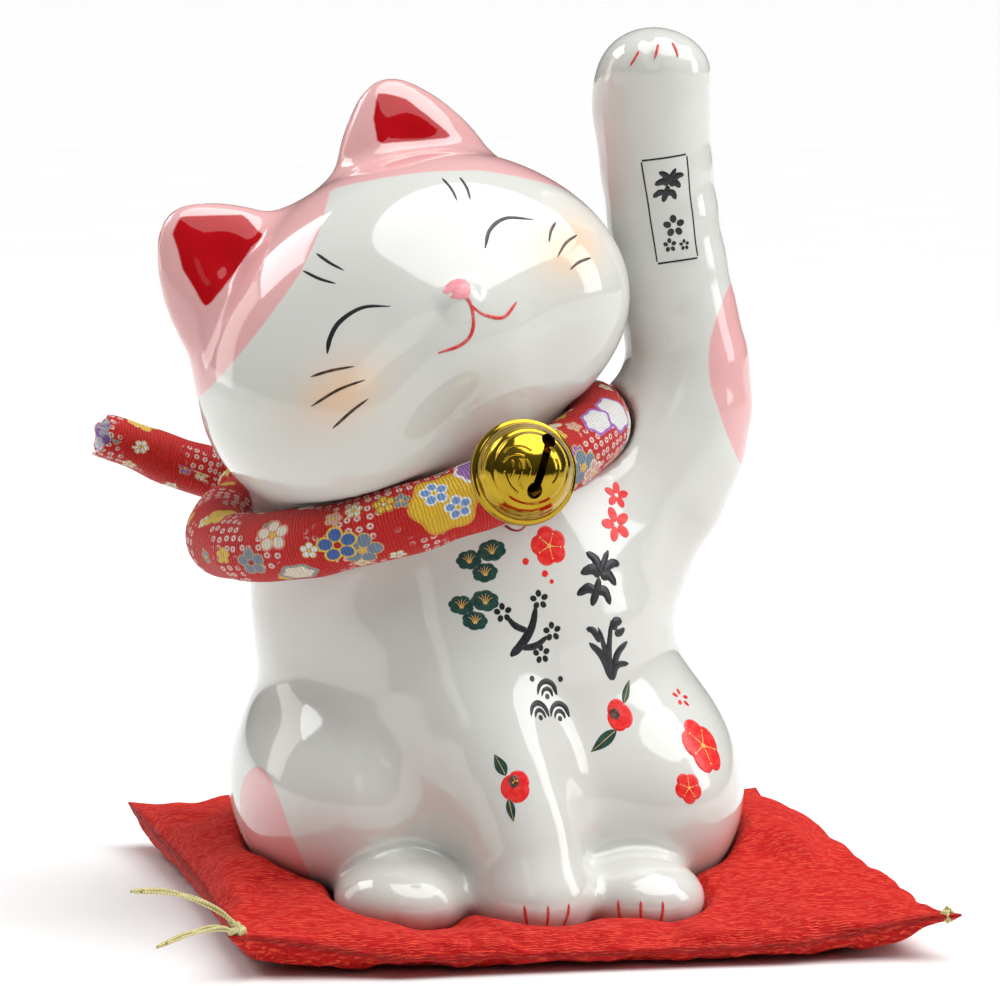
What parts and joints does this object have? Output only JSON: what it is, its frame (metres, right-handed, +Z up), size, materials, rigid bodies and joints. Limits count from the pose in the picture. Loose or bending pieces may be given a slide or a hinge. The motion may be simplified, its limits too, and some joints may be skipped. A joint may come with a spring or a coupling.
{
  "type": "beckoning cat figurine",
  "caption": "glazed ceramic beckoning cat with one long raised arm, brocade collar and gold jingle bell, sitting on a stuffed crepe cushion",
  "frame": {"origin": "middle of the cushion's underside, on the surface that it stands on", "axes": "+Z up, the cat faces -Y, +X is the cat's left, the side of the raised arm"},
  "size_m": [0.2112, 0.2082, 0.2285],
  "materials": {
    "glazed_ceramic": "white slip-cast body under a clear high-gloss glaze, with pink, red, black and green overglaze painting",
    "brocade": "red woven brocade with small flowers in white, gold, blue and purple",
    "wadding": "soft cotton wadding",
    "gold_brass": "thin pressed brass, polished and gold plated",
    "pellet_steel": "plain steel ball",
    "tie_thread": "red cotton thread",
    "crepe": "matte red crepe cloth with fine wavy ribs",
    "cotton_thread": "pale yellow-green cotton thread in bundles"
  },
  "bodies": {
    "cushion": {"cushion_top_panel": "crepe", "cushion_under_panel": "crepe", "cushion_filling": "wadding", "corner_knot_left": "cotton_thread", "corner_knot_right": "cotton_thread", "tassel_upper": "cotton_thread", "tassel_lower": "cotton_thread"},
    "cat": {"ceramic_cat": "glazed_ceramic", "collar_sleeve": "brocade", "collar_padding": "wadding", "collar_knot": "brocade", "collar_tail_right": "brocade", "collar_tail_back": "brocade", "bell_tie": "tie_thread"},
    "bell": {"bell_front_shell": "gold_brass", "bell_back_shell": "gold_brass", "bell_loop": "gold_brass"},
    "pellet": {"bell_pellet": "pellet_steel"}
  },
  "joints": [
    {"name": "cat_lift", "type": "slide", "parent": "cushion", "child": "cat", "axis": [0, 0, 1], "range_m": [0, 0.08]},
    {"name": "bell_swing", "type": "hinge", "parent": "cat", "child": "bell", "pos_m": [-0.01775, -0.06324, 0.11844], "axis": [-0.9087, -0.2796, -0.3099], "range_deg": [0, 15]},
    {"name": "pellet_rattle", "type": "slide", "parent": "bell", "child": "pellet", "axis": [0, 0, 1], "range_m": [0, 0.012]}
  ]
}
